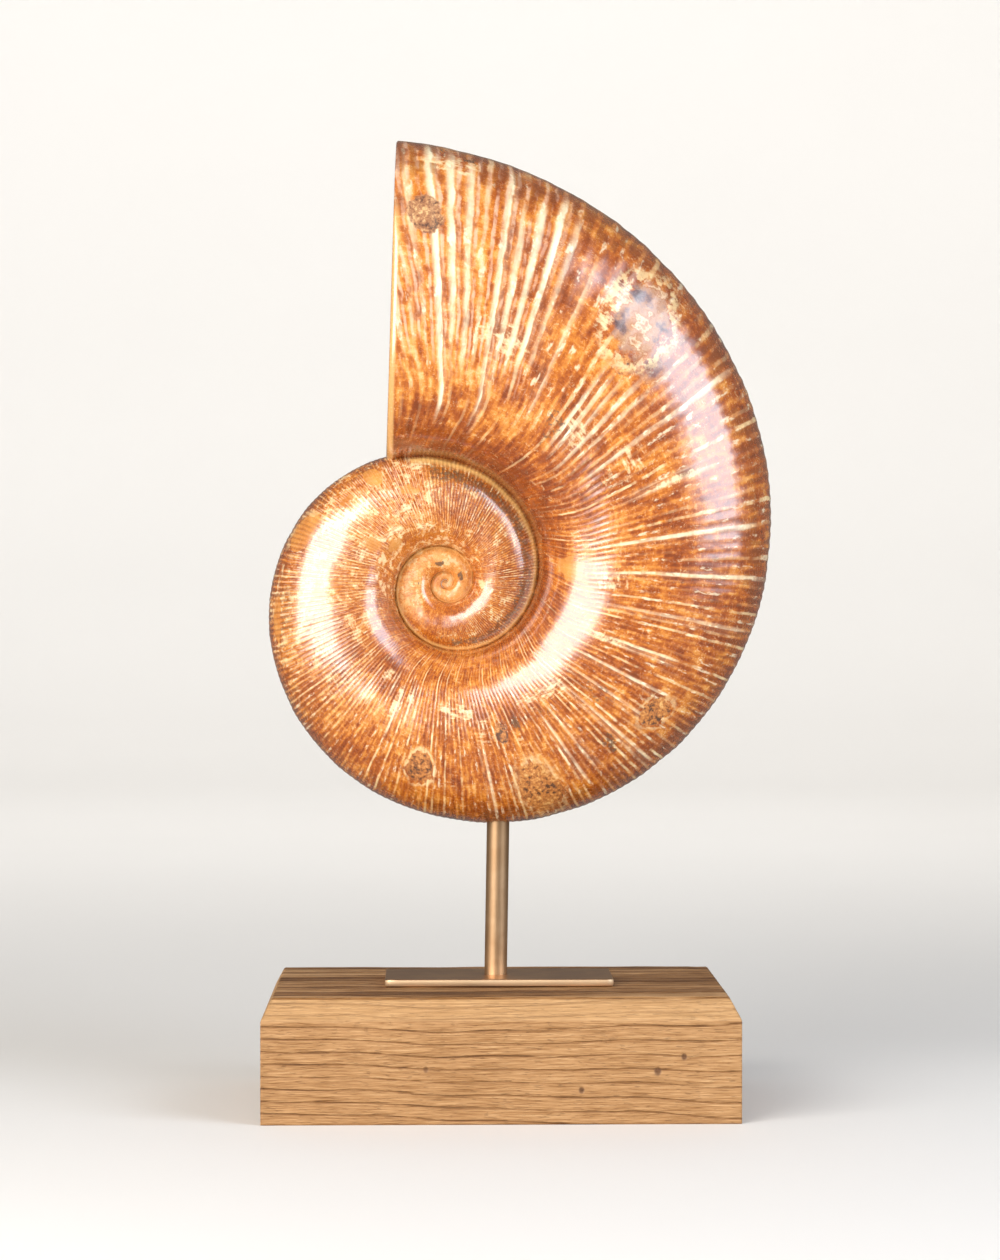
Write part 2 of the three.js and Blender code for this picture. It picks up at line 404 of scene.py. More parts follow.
bend = BEND * np.clip(1 - across / BEND_REACH, 0, 1) ** 2
label = turns + bend + np.interp(turns, LEAN_AT, LEANS) * (across - 0.3)
FINE_STEP, BEFORE_CUT = 0.05, 30
fine = np.arange(-BEFORE_CUT, COIL_END + 30, FINE_STEP)
count = np.concatenate([[0], np.cumsum(FINE_STEP / np.interp(fine[1:], PERIOD_AT, PERIODS))])
ribs = np.interp(label, fine, count)
rib_strength = (1 - smooth((turns - 470) / 90)) * smooth((across + 0.01) / 0.12)
rib_strength = rib_strength * (1 - 0.9 * smooth((across - 0.93) / 0.03) * (turns > 355))
print("ribs on the last whorl:", round(float(np.diff(np.interp([0, 360], fine, count))[0])))


# %% [markdown]
# ## Marks on the shell
#
# Stone grew unevenly through this shell. There are rough brown spots where the polish never
# took, smooth orange windows, a swirl of mother-of-pearl, and ribs that turned to white
# calcite. Each is one entry in a table: where it is, how large, and how strong. They could be
# painted by hand, but a table is short and can be changed in one place.


# %% Tables of marks: degrees behind the cut, place across, half sizes, strength
# CREAM has degrees, the two ends across the whorl, and strength.
PITTED = ((3.9, 0.745, 2.8, 0.06, 1),)
GRAVELLY = (
    (128, 0.775, 3.8, 0.052, 1), (161.5, 0.8, 4.6, 0.15, 0.85), (166, 0.47, 1.8, 0.06, 0.7),
    (193.8, 0.71, 3.6, 0.09, 0.75), (46, 0.6, 1.6, 0.035, 0.8))
WINDOWS = (
    (296, 0.88, 8.5, 0.085, 1), (316, 0.79, 3.6, 0.04, 0.9), (331.5, 0.84, 4.2, 0.09, 0.7),
    (264, 0.925, 8, 0.03, 0.9), (304, 0.3, 6, 0.05, 0.7), (313, 0.16, 8, 0.05, 0.7),
    (346, 0.62, 9, 0.06, 0.5), (93, 0.12, 6, 0.06, 0.7), (288, 0.42, 4, 0.05, 0.4))
PEARL = ((43.5, 0.77, 4.6, 0.13, 1), (50, 0.68, 4, 0.06, 0.6))
GREY = (
    (40.5, 0.27, 3, 0.07, 0.5), (140.5, 0.735, 1.8, 0.06, 0.6), (160, 0.41, 2, 0.012, 0.9),
    (7, 0.97, 1.5, 0.012, 0.9), (10.5, 0.955, 1, 0.01, 0.9), (132, 0.5, 3, 0.1, 0.35),
    (636, 0.32, 7, 0.03, 0.5), (709, 0.31, 13, 0.1, 1), (792, 0.35, 16, 0.14, 0.9),
    (396, 0.42, 1, 0.03, 0.7), (65, 0.3, 3, 0.05, 0.3), (150, 0.42, 5, 0.1, 0.25))
SHADED = tuple((260 + 2.0 * k, 0.86 - 0.003 * k, 0.55, 0.035, 0.9) for k in range(8))
CREAM = (
    (-3.5, 0.35, 0.95, 0.5), (0.8, 0.4, 0.99, 0.45), (5.4, 0.12, 0.98, 1), (8.3, 0.42, 0.96, 0.8),
    (11.1, 0.3, 0.93, 0.5), (17.2, 0.12, 0.97, 1), (19.6, 0.35, 0.8, 0.5), (22, 0.35, 0.88, 0.7),
    (25.2, 0.35, 0.95, 0.95), (28, 0.4, 0.9, 0.5), (32, 0.25, 0.8, 0.5), (43.5, 0.22, 0.5, 0.9),
    (45.5, 0.22, 0.5, 0.8), (47.4, 0.25, 0.5, 0.7), (50.5, 0.2, 0.6, 0.6), (53.6, 0.3, 0.62, 0.5),
    (59.6, 0.25, 0.94, 0.8), (71.6, 0.4, 0.72, 1), (84.3, 0.3, 0.9, 0.9), (93.5, 0.28, 0.98, 0.8),
    (104.5, 0.3, 0.95, 0.5), (115.4, 0.28, 0.7, 1), (123.7, 0.3, 0.74, 0.8),
    (130.6, 0.3, 0.74, 0.6), (137.6, 0.28, 0.94, 0.8), (146.7, 0.42, 0.8, 0.6),
    (150.8, 0.45, 0.85, 0.8), (173.6, 0.5, 0.95, 0.7), (202.8, 0.28, 0.48, 0.9),
    (207.6, 0.32, 0.62, 0.9), (213, 0.26, 0.4, 0.7), (179, 0.26, 0.42, 0.6), (185, 0.26, 0.42, 0.6))
OUTLINES = (
    (161.5, 0.8, 5.4, 0.18, 0.45), (193.8, 0.71, 4.3, 0.11, 0.8), (296, 0.88, 9.6, 0.1, 0.4),
    (128, 0.775, 4.8, 0.07, 0.5), (43.5, 0.76, 6.4, 0.17, 0.8))
SMEARS = (
    (141, 0.34, 5, 0.05, 1), (182, 0.34, 8, 0.07, 0.9), (20, 0.4, 7, 0.07, 0.7),
    (203, 0.34, 1.6, 0.07, 1), (208.5, 0.42, 1.8, 0.12, 1), (72, 0.6, 1.0, 0.12, 0.9),
    (115.5, 0.36, 1.4, 0.09, 1), (218, 0.3, 5, 0.04, 0.8), (233, 0.55, 6, 0.16, 0.5),
    (248, 0.33, 8, 0.05, 0.7), (300, 0.36, 12, 0.06, 0.9), (318, 0.28, 12, 0.04, 0.9),
    (333, 0.42, 10, 0.07, 0.8), (345, 0.2, 8, 0.05, 0.8), (310, 0.62, 9, 0.1, 0.7),
    (340, 0.7, 8, 0.1, 0.5), (8, 0.93, 5, 0.04, 0.6), (352, 0.86, 7, 0.03, 1),
    (276, 0.93, 8, 0.02, 0.8), (38, 0.72, 2, 0.12, 0.8), (96, 0.3, 3, 0.08, 0.8),
    (170, 0.45, 6, 0.12, 0.4), (250, 0.6, 12, 0.1, 0.5), (63, 0.42, 5, 0.09, 0.6),
    (48, 0.33, 5, 0.07, 0.8), (150, 0.33, 7, 0.05, 0.7))
DULL = ((640, 0.62, 62, 0.3, 1), (720, 0.6, 40, 0.3, 0.6), (1160, 0.5, 330, 1.5, 1))


# %% Marks as numbers on the grid
def spot_reach(center, place, half_angle, half_across):
    """1 on the edge of an oval: the root of the squared distances over the half sizes."""
    return np.hypot((label - center) / half_angle, (across - place) / half_across)


def soft_oval(*oval):
    """1 inside an oval, falling to 0 at its edge."""
    return 1 - smooth((spot_reach(*oval) - 0.75) / 0.5)


def thin_rim(*oval):
    """High only where the reach of an oval is close to 1."""
    return np.exp(-((spot_reach(*oval) - 1) / 0.09) ** 2)


def pale_rib(center, low, high):
    """A rib turned to calcite: narrow in angle, with soft ends across the whorl."""
    along = smooth((across - low) / 0.08 + 0.5) * smooth((high - across) / 0.08 + 0.5)
    return along * np.exp(-((label - center) / 0.75) ** 2)


def marked(table, shape=soft_oval):
    """The sum over a table of shape times strength, on the side where near_side is below 0."""
    total = sum(mark[-1] * shape(*mark[:-1]) for mark in table)
    return np.where(near_side < 0, np.clip(total, 0, 1), 0)


rough, windows, grey = marked(PITTED + GRAVELLY), marked(WINDOWS), marked(GREY)
shaded, smears, dull = marked(SHADED), marked(SMEARS), marked(DULL)
cream, outline = marked(CREAM, pale_rib), marked(OUTLINES, thin_rim)

# %% [markdown]
# The far side isn't in the photograph, so its marks are made up: a few of the same kinds, at
# places drawn from a seeded random number.

# %% Marks on the far side
rng = np.random.default_rng(11)
far_rough = tuple((rng.uniform(20, 340), rng.uniform(0.3, 0.8), 4, 0.07, 0.8) for _ in range(5))
far_windows = tuple((rng.uniform(20, 340), rng.uniform(0.2, 0.9), 7, 0.07, 0.8) for _ in range(6))
far_cream = tuple((rng.uniform(0, 340), 0.3, 0.9, rng.uniform(0.4, 1)) for _ in range(34))
near_side = -near_side  # turned round for a moment, so that the far side is marked
far_side_rough = marked(far_rough)
rough, windows = rough + far_side_rough, windows + marked(far_windows)
cream = cream + marked(far_cream, pale_rib)
near_side = -near_side

# %% [markdown]
# ## Relief and the cut
#
# Polishing has left the ribs only a few hundredths of a millimetre high on the flanks and up to
# a fifth of one on the outer edge. Rough spots sink a little. Where a whorl dips under the next
# one there is a raised rim, and stone nearly fills the seam beside it. All of this could be
# bump in the finish, but as real shape it also shows along the outline. The edge of the cut
# was rounded by polishing, so points near it move inwards along a quarter circle.


# %% Relief
def waves(points, size, seed):
    """Uneven ground: 24 sine waves about size long, in random directions, summed over root 12."""
    draw = np.random.default_rng(seed)
    turn = draw.normal(size=(24, 3))
    full = 2 * math.pi / size / draw.uniform(0.7, 1.5, 24)
    turn *= (full / np.linalg.norm(turn, axis=1))[:, None]
    phase = draw.uniform(0, 2 * math.pi, 24)
    total = np.zeros(points.shape[:-1])
    for k in range(24):
        total += np.sin(points @ turn[k] + phase[k])
    return total / math.sqrt(12)


def drawn_in(edge, distance):
    """Radius less the root of radius squared minus (radius less distance) squared: a round edge."""
    return edge - np.sqrt(np.clip(edge ** 2 - np.clip(edge - distance, 0, edge) ** 2, 0, None))


def on_spiral(radius, depth, angle):
    """A point at a radius and angle about the coil's axis, depth in front of or behind it."""
    turn = np.radians(angle)
    return np.stack([COIL_X + radius * np.cos(turn), side_ring * depth,
                     COIL_Z + radius * np.sin(turn)], -1)


smooth_shell = on_spiral(radius, depth, angle)
along = np.gradient(smooth_shell, axis=0)
around = np.roll(smooth_shell, -1, axis=1) - np.roll(smooth_shell, 1, axis=1)
outward = np.cross(around, along)
outward /= np.maximum(np.linalg.norm(outward, axis=-1, keepdims=True), 1e-9)
middle = smooth_shell.mean(axis=1, keepdims=True)
outward *= np.sign(np.median(np.sum(outward * (smooth_shell - middle), -1)))

# %% Ribs, rim, seam and rough ground added up as relief
growing = venter_radius(angle)
rim = (turns > 350) * np.exp(-((across - 0.905) / 0.028) ** 2)
# The groove is not relief: through the shaded value it only darkens the seam's crevice as painted
# shade.
groove = (turns > 350) * np.exp(-((across - 0.962) / 0.014) ** 2)
SMOOTH_FROM = 1470
rib_height = 0.0003 + 0.0007 * smooth((across - 0.8) / 0.15) * smooth((turns - 10) / 70)
ribbed = 1 - np.clip(windows + rough, 0, 1)
relief = growing * rib_strength * rib_height * np.cos(2 * math.pi * ribs) * ribbed
relief += growing * (0.01 * rim + 0.013 * smooth((across - 0.93) / 0.03) * (turns > 356))
relief += 0.1 * waves(smooth_shell, 17, 1) + 0.03 * waves(smooth_shell, 5, 2)
relief += rough * (-0.35 + 0.16 * waves(smooth_shell, 3.2, 3)) + 0.12 * outline
relief *= smooth((SMOOTH_FROM - behind[:, None]) / 200)

# %% Rounded edge and flat cut face
FAR_FROM_CUT = 100
edge = 0.9 + 1.7 * smooth((0.8 - across) / 0.2)
to_cut = np.where(turns < 60, np.clip(past_cut(angle, radius), 0, None), FAR_FROM_CUT)
edge_fade = smooth(to_cut / 6)
shell = smooth_shell + outward * (relief * edge_fade - drawn_in(edge, to_cut))[..., None]

CAP_SCALES = np.array([0.995, 0.985, 0.97, 0.95, 0.92, 0.88, 0.82, 0.74, 0.64, 0.53, 0.42,
                       0.31, 0.2, 0.1])
cap_centre = shell[0].mean(0) + np.array([0, 0, 4.0])
cap_centre[0] = np.interp(cap_centre[2], *shell[0][[0, len(flank) + 1]][:, [2, 0]].T)
cap = cap_centre + CAP_SCALES[::-1, None, None] * (shell[0] - cap_centre)
tip = shell[-1].mean(0) + (shell[-1].mean(0) - shell[-2].mean(0)) * 2
rings = np.concatenate([cap, shell]) * MM
ends = np.array([cap_centre, tip]) * MM


def with_cap(grid, value=None):
    """The same grid with rows for the cap put in front: a given value, or the first row's."""
    first = grid[:1] if value is None else np.full_like(grid[:1], value)
    return np.concatenate([np.repeat(first, len(CAP_SCALES), 0), grid])


# %% [markdown]
# The finish needs to know which way the colour leans at each point: paler on the young smooth
# whorls and near the cut, browner on the venter, and darker down the wall beside the seam as
# painted shade.

# %% Tone of the shell, and the piece itself
tone = 0.16 * (1 - smooth((turns - 5) / 50)) * smooth(across / 0.25)
tone -= 0.05 * (1 - smooth((turns - 50) / 60)) * smooth((across - 0.2) / 0.2)
tone -= 0.13 * smooth((across - 0.88) / 0.07) * smooth((turns - 25) / 40) * (turns < 340)
# Painted shade: the tone is darker down the wall beside the seam.
tone -= 0.34 * (1 - smooth(across / 0.17)) * (1 - 0.75 * smooth((turns - 80) / 100))
tone += 0.17 * smooth((turns - 530) / 60) + 0.08 * smooth((turns - 590) / 40)
tone += (0.1 * smooth((turns - 215) / 50) * (1 - smooth((turns - 345) / 30))
         * smooth((across - 0.1) / 0.2))
first_inner = 1 - smooth((turns - 520) / 60)
grey_band = (turns > 358) * first_inner * np.exp(-((across - 0.775) / 0.075) ** 4)
strip = smooth((2.9 - to_cut) / 1.0) * smooth((0.8 - across) / 0.1)
furrows = 0.8 * (turns > 355) * first_inner * smooth((across - 0.2) / 0.3)
furrows += (0.6 * smooth((turns - 205) / 30) * (1 - smooth((turns - 290) / 30))
            * smooth((across - 0.2) / 0.1))

# %% Values stored for the finish: each with its value on the cut face, or None for the edge's own
kept_values = {
    "tone": (tone, None), "degrees": (label, None), "strip": (strip, 1), "rim": (rim, 0),
    "rib_strength": (rib_strength * (1 - strip), 0), "cream": (cream * (1 - strip), 0),
    "rough": (far_side_rough, 0), "windows": (windows, 0), "smears": (smears, 0),
    "dull": (dull, 0), "furrows": (furrows, 0), "cut": (np.zeros_like(radius), 1),
    "grey": (np.clip(grey + 0.75 * grey_band, 0, 1), 0),
    "shaded": (np.clip(shaded + 0.3 * groove, 0, 1), 0),
}
shell_values = {name: with_cap(*value) for name, value in kept_values.items()}
shell_values["cut_depth"] = np.concatenate(
    [np.broadcast_to(1 - CAP_SCALES[::-1, None], cap.shape[:2]), np.zeros_like(radius)])
ammonite = add_piece("ammonite_shell", rings, ends,
                     np.stack([with_cap(ribs), with_cap(across)], -1), shell_values)

# %% [markdown]
# ## The shell's finish
#
# The colour is brown to orange calcite, clouded at several sizes and streaked along the ribs.
# The rib tops are cream, each a different strength, broken up along its length. Clear polish
# lies on top, except on the rough spots. A picture could hold this, but would blur close up.
# Noise in the piece's own place and rib count stays sharp at any distance.

# %% Clouds in the stone, and streaks along the ribs
polish = Finish("polished_shell", IOR=1.7, Coat_IOR=1.8, Coat_Roughness=0.11)
rib_count, across_whorl, _ = polish.parts(polish.add("ShaderNodeUVMap", {"uv_map": "along"}))
clouds = polish.noise(24, 2)
broad_patches = polish.noise(48, 3, 0.55)
patches = polish.noise(125, 4, 0.6)
blotches = polish.noise(240, 4, 0.65)
grain = polish.noise(700, 4, 0.65)


def rib_noise(detail, roughness, per_rib, per_whorl, drift):
    """Noise that follows the ribs: its scales over ribs and whorl, shifted a little by clouds."""
    where = polish.joined(rib_count * per_rib, across_whorl * per_whorl, clouds * drift)
    return polish.noise(1, detail, roughness, where)


cells = rib_noise(2, 0.5, 1.9, 20, 3)
threads = rib_noise(3, 0.65, 0.55, 62, 6)
streaks = rib_noise(3, 0.6, 1.3, 7, 3)
strokes = rib_noise(3, 0.7, 1.1, 13, 7).step(0.56, 0.66)

# %% Waves that rise on each rib, and a random strength for each rib
FULL_TURN, TWO_TURNS, QUARTER_TURN = 6.2832, 12.566, 1.5708
rib_here = rib_count + ((patches - 0.5) * 0.35 + (clouds - 0.5) * 0.9)
wave = (rib_here * FULL_TURN + QUARTER_TURN).sine()
half_wave = (rib_here * TWO_TURNS + QUARTER_TURN).sine()
line = wave.step(0.2, 0.85)
which = (rib_here + 0.5).whole()
rib_chance = polish.chance(which)
broken = polish.noise(1, 3, 0.7, polish.joined(which * 3.7, across_whorl * 9)).step(0.38, 0.62)
strength = polish.stored("rib_strength")

# %% [markdown]
# Marks with sharp edges are drawn here from their tables and not stored on the grid, which is
# too coarse for them. Each one is an oval in degrees and place across the whorl. Noise is added
# to the distance from its middle, so that its edge is ragged like broken stone.

# %% Ovals with ragged edges
degrees = polish.stored("degrees")
near = (polish.parts(polish.place)[1] * -1).step(0.0, 0.002)
ragged = (patches - 0.5) * 0.9 + (blotches - 0.5) * 0.7


def oval(center, place, half_angle, half_across):
    """1 on the ragged edge of an oval mark, given in degrees behind the cut and place across."""
    sideways = (degrees - center) * (1 / half_angle)
    return (sideways ** 2 + ((across_whorl - place) * (1 / half_across)) ** 2) ** 0.5 + ragged


def inside(table):
    """How much of a mark there is: its strength inside, 0 outside."""
    return sum((1 - oval(*mark[:4]).step(0.9, 1.1)) * mark[4] for mark in table) * near


def border(table):
    """A thin line round each mark."""
    edges = [(oval(*mark[:4]), mark[4]) for mark in table]
    lines = [edge.step(0.88, 0.98) * (1 - edge.step(1.04, 1.22)) * size for edge, size in edges]
    return sum(lines) * near


windows = (polish.stored("windows") + ragged).step(0.38, 0.52)
gravelly = (inside(GRAVELLY) + polish.stored("rough")).kept_within()
rough = (inside(PITTED) + gravelly).kept_within()
pearl = inside(PEARL)
dull = polish.stored("dull")

# %% [markdown]
# One tone, from 0 to 1, decides how brown or how orange the ground is. It leans the way that
# was stored with the shape, and the noises push it up and down, the finer ones less so in the
# smooth windows and on the dull whorls.

# %% Ground colour of the shell
CREAM_COLOR, CALCITE_COLOR = (0.94, 0.7, 0.36), (1.0, 0.88, 0.6)
SHELL_TONES = (
    (0.0, (0.22, 0.04, 0.002)), (0.2, (0.32, 0.062, 0.003)), (0.4, (0.47, 0.115, 0.008)),
    (0.58, (0.64, 0.205, 0.02)), (0.76, (0.77, 0.32, 0.062)), (1.0, (0.89, 0.52, 0.2)))
leaning = polish.stored("tone")
calm = 1 - (windows * 0.8 + dull * 0.15).kept_within()
coarse = (clouds - 0.5) * 0.6 + (broad_patches - 0.5) * 0.55 + (patches - 0.5) * 0.75
finer = ((cells - 0.5) * 0.95 + (grain - 0.5) * 0.45 + (streaks - 0.5) * 0.8
         + (blotches - 0.5) * 0.6 + (threads - 0.5) * 0.5 + wave * strength * 0.05)
tone = 0.415 + coarse + leaning + finer * calm


def laid_over(color, *layers):
    """The colour after each layer, a mask and a colour, is laid over it in turn."""
    for mask, shade in layers:
        color = polish.mix(mask, color, shade)
    return color


# %% Ribs: milky doubles, cream lines with worn gaps, and ribs turned to calcite
milky = (half_wave.step(-0.2, 0.8) * strength * cells.step(0.36, 0.6)
         * leaning.step(0.02, 0.1) * across_whorl.step(0.2, 0.4))
worn = (broad_patches + (patches - 0.5) * 0.8).step(0.44, 0.54) * degrees.step(215, 275)
rib_line = ((1 - worn * 0.8) * line * strength * (rib_chance.step(0.35, 1.05) * 0.85 + 0.08)
            * broken * (1 - degrees.step(50, 10) * 0.55))
calcite = (polish.stored("cream") * (wave.step(-0.5, 0.4) * 0.85 + 0.15)
           * (streaks.step(0.3, 0.5) * 0.5 + 0.5)
           * (broken * 0.5 + 0.5 + degrees.step(60, 0) * 0.5))
calcite = calcite + strokes * wave.step(-0.3, 0.5) * strength * across_whorl.step(0.12, 0.3) * 0.6
color = laid_over(
    polish.ramp(tone.kept_within(), SHELL_TONES),
    (milky * 0.6, (0.86, 0.58, 0.42)),
    (rib_line.kept_within(), CREAM_COLOR),
    (calcite.kept_within(), CALCITE_COLOR))

# %% Smears, worn places, flecks and the brick pattern on the outer edge
smears = polish.stored("smears")
smeared = (smears * 0.8 + (blotches - 0.5) * 2.0 + (threads - 0.5) * 1.4).step(0.35, 0.95)
worn_spots = worn * (blotches + (grain - 0.5) * 0.5).step(0.52, 0.62)
worn_ground = worn * (1 - (blotches + (patches - 0.5) * 0.6).step(0.4, 0.5))
flecks = (polish.noise(850, 3, 0.65) + (threads - 0.5) * 0.5).step(0.56, 0.7)
fleck_strength = (patches.step(0.45, 0.65) * 0.4 + 0.04) * calm
brick_chance = polish.chance(which * 7.3 + (across_whorl * 26).whole() * 1.7)
bricks = across_whorl.step(0.84, 0.92) * strength * brick_chance.step(0.45, 0.6) * (1 - line)
color = laid_over(
    color,
    (smeared * smears.step(0.02, 0.4) * 0.85, (0.96, 0.78, 0.46)),
    (worn_spots * 0.75, (0.96, 0.74, 0.4)),
    (worn_ground * 0.45, (0.52, 0.17, 0.02)),
    (flecks * fleck_strength, CREAM_COLOR),
    (bricks * 0.6, (0.24, 0.062, 0.01)))

# %% [markdown]
# Over the ribs come the places where they are lost: smooth windows, gravel where the polish
# never took, and a patch of mother-of-pearl with grey-blue crescents.

# %% Windows, gravel and pearl
pits = polish.noise(520, 4, 0.75)
pitting = pits + (patches - 0.5) * 0.5
window_color = polish.ramp(patches, ((0.3, (0.56, 0.18, 0.025)), (0.7, (0.76, 0.34, 0.07))))
gravel = polish.ramp(pitting, (
    (0.36, (0.07, 0.02, 0.006)), (0.45, (0.3, 0.11, 0.035)), (0.56, (0.46, 0.21, 0.08)),
    (0.68, (0.78, 0.5, 0.22))))
bright_gravel = polish.ramp(pitting, (
    (0.37, (0.1, 0.03, 0.004)), (0.43, (0.43, 0.13, 0.014)), (0.54, (0.62, 0.22, 0.03)),
    (0.66, (0.84, 0.48, 0.15))))
pearl_color = polish.ramp(polish.noise(95, 4, 0.55), (
    (0.34, (0.05, 0.045, 0.06)), (0.4, (0.17, 0.12, 0.13)), (0.45, (0.44, 0.24, 0.15)),
    (0.5, (0.5, 0.27, 0.15)), (0.54, (0.4, 0.16, 0.05)), (0.575, (0.82, 0.6, 0.38)),
    (0.62, (0.44, 0.19, 0.07))))
color = laid_over(
    color,
    (windows * 0.85, window_color),
    (rough * 0.95, gravel),
    ((gravelly * 1.15).kept_within(), bright_gravel),
    (pearl * 0.85, pearl_color))

# %% Mottling of the dull whorls, dark marks, furrows, outlines, shade, and the rim at the seam
grey = polish.stored("grey")
dark_mark = (grey + (blotches - 0.5) * 1.4 + (grain - 0.5) * 2.4).step(0.35, 0.75)
eye = degrees.step(1330, 1390)
furrows = (1 - wave).step(0.95, 1.75) * polish.stored("furrows") * streaks.step(0.25, 0.55)
outlined = (border(OUTLINES) * blotches.step(0.38, 0.56) * 0.85).kept_within()
color = laid_over(
    color,
    (dull * blotches.step(0.5, 0.62) * 0.55, (0.42, 0.17, 0.04)),
    (dull * (1 - blotches.step(0.36, 0.47)) * 0.5, (0.9, 0.6, 0.26)),
    (dark_mark * grey.step(0.02, 0.3) * 0.85, (0.12, 0.055, 0.025)),
    (eye * 0.8, (0.34, 0.14, 0.035)),
    (furrows * 0.8, (0.26, 0.075, 0.015)),
    (outlined, CREAM_COLOR),
    (polish.stored("shaded") * 0.6, (0.16, 0.045, 0.008)),
    # The rim's own pale orange, made brighter as painted light on the ledge beside the shaded seam.
    (polish.stored("rim") * 0.95, (1.0, 0.6, 0.2)),
    (polish.stored("strip") * 0.75, (0.84, 0.48, 0.17)))

# %% [markdown]
# The saw went through stone that had filled the shell, so the cut face is brown rock inside a
# thin band of shell. It was smoothed but not polished, and shines much less than the outside.

# %% Cut face
cut = polish.stored("cut")
matrix = polish.ramp(patches + (clouds - 0.5) * 0.8, (
    (0.32, (0.16, 0.06, 0.02)), (0.5, (0.36, 0.17, 0.06)), (0.7, (0.58, 0.34, 0.15))))
color = laid_over(color, (cut * polish.stored("cut_depth").step(0.02, 0.07), matrix))

# %% Gloss and fine relief of the shell
unpolished = (rough * 0.9 - gravelly * 0.4 + dull * 0.9).kept_within()
gloss = (1 - unpolished) * (1 - cut * 0.75) * (1 - pearl * 0.5) * (1 - eye)
roughness = (0.26 + (grain - 0.5) * 0.12 + rough * 0.42 + flecks * 0.04 + dull * 0.3
             + cut * 0.25 + eye * 0.4)
height = (line * strength * 0.025 + (grain - 0.5) * 0.03 + (patches - 0.5) * 0.1
          + rough * (pits - 0.5) * 0.7 + flecks * 0.01 - furrows * 0.05)
polish.wear(Base_Color=color, Roughness=roughness, Coat_Weight=gloss * 0.95, height=height)
polish.finish_piece(ammonite, "fossil", "ammonite")

# %% [markdown]
# ## The oak block
#
# The block is sawn from a plank, with its four upper edges planed off at an angle. Growth rings
# of the tree run through it, so lines on its front, its top and its ends all belong to the same
# set of cylinders. A finish that measures the distance from the heart of the tree gets every
# face right at once. The surface is a section carried along X, so that dark lines can also sink.

# %% Measures of the block
BASE_X, BASE_Y, BASE_Z = 102.0, 65.0, 53.0
SIDE_Z = 44.0
END_RISE = 9 / 4.7
PITH_Y, PITH_Z = -110.0, -150.0
RING_STEP = 5.2
WAVES_OF_WOOD = (
    (0.019, 0.0, 1.0, 0.5), (0.047, 0.013, 0.6, 2.1), (0.11, 0.03, 0.35, 4.0),
    (0.006, 0.02, 1.6, 1.0))
SPREAD, SPREAD_X, SPREAD_Z = -0.0016, -10.0, 27.0


def eased(a, b, reach=1.2):
    """The smaller of two heights, with the corner between them rounded off."""
    blend = np.clip(0.5 + 0.5 * (b - a) / reach, 0, 1)
    return b * (1 - blend) + a * blend - reach * blend * (1 - blend) * 0.5


def roof(x, y):
    """Height of the block: flat on top, sloping down near its long sides and its ends."""
    by_side = eased(BASE_Z, SIDE_Z + (BASE_Y - np.abs(y)))
    return eased(by_side, SIDE_Z + END_RISE * (BASE_X - np.abs(x)))


def ring_number(x, y, z):
    """Distance from the heart of the tree, plus waves along the grain and a spread, over the step.

    The spread moves the rings apart towards one end, as the trunk widens there.
    """
    wander = sum(size * np.sin(x * kx + z * kz + start) for kx, kz, size, start in WAVES_OF_WOOD)
    wander = wander + SPREAD * np.clip(x - SPREAD_X, 0, None) * (z - SPREAD_Z)
    return (np.hypot(y - PITH_Y, z - PITH_Z) + wander) / RING_STEP


# %% Points of the block
CORNER = 0.6
near_end = np.array([101.7, 101.9, 101.98])
x = np.sort(np.concatenate([-near_end, np.linspace(-101.4, 101.4, 262), near_end]))
up = np.concatenate([[0, 0.012], np.linspace(0.03, 1, 64)])
side = np.concatenate([[0.992], np.ones(len(up) - 1)])
over = np.linspace(-1, 1, 112)[1:-1]
under = np.linspace(0.98, -0.98, 10)
section_y = np.concatenate([-side, over, side[::-1], under])
section_up = np.concatenate([up, np.ones_like(over), up[::-1], np.zeros_like(under)])
rounding = drawn_in(CORNER, BASE_X - np.abs(x))
block_y = section_y[None, :] * (BASE_Y - rounding[:, None])
block_x = np.broadcast_to(x[:, None], block_y.shape)
block_z = section_up[None, :] * (roof(block_x, block_y) - rounding[:, None])
block = np.stack([block_x, block_y, block_z], -1)

# %% Sunken late wood on the block's sides and top
late_wood = (ring_number(block_x, block_y, block_z) % 1 - 0.9) / 0.08
sunk = 0.22 * np.exp(-late_wood ** 2) + 0.05 * waves(block * np.array([0.25, 1, 1]), 6, 5)
on_side = (np.abs(section_y) == 1) & (section_up > 0)
on_top = (np.abs(section_y) < 1) & (section_up > 0)
fade = smooth(block_z / 0.8) * smooth((BASE_X - np.abs(block_x)) / 2)
block[..., 1] -= np.sign(block_y) * np.where(on_side, sunk * fade, 0)
block[..., 2] -= np.where(on_top, sunk * fade, 0)
block_ends = np.array([[-BASE_X, 0, 22], [BASE_X, 0, 22]])
oak_block = add_piece("oak_block", block * MM, block_ends * MM)
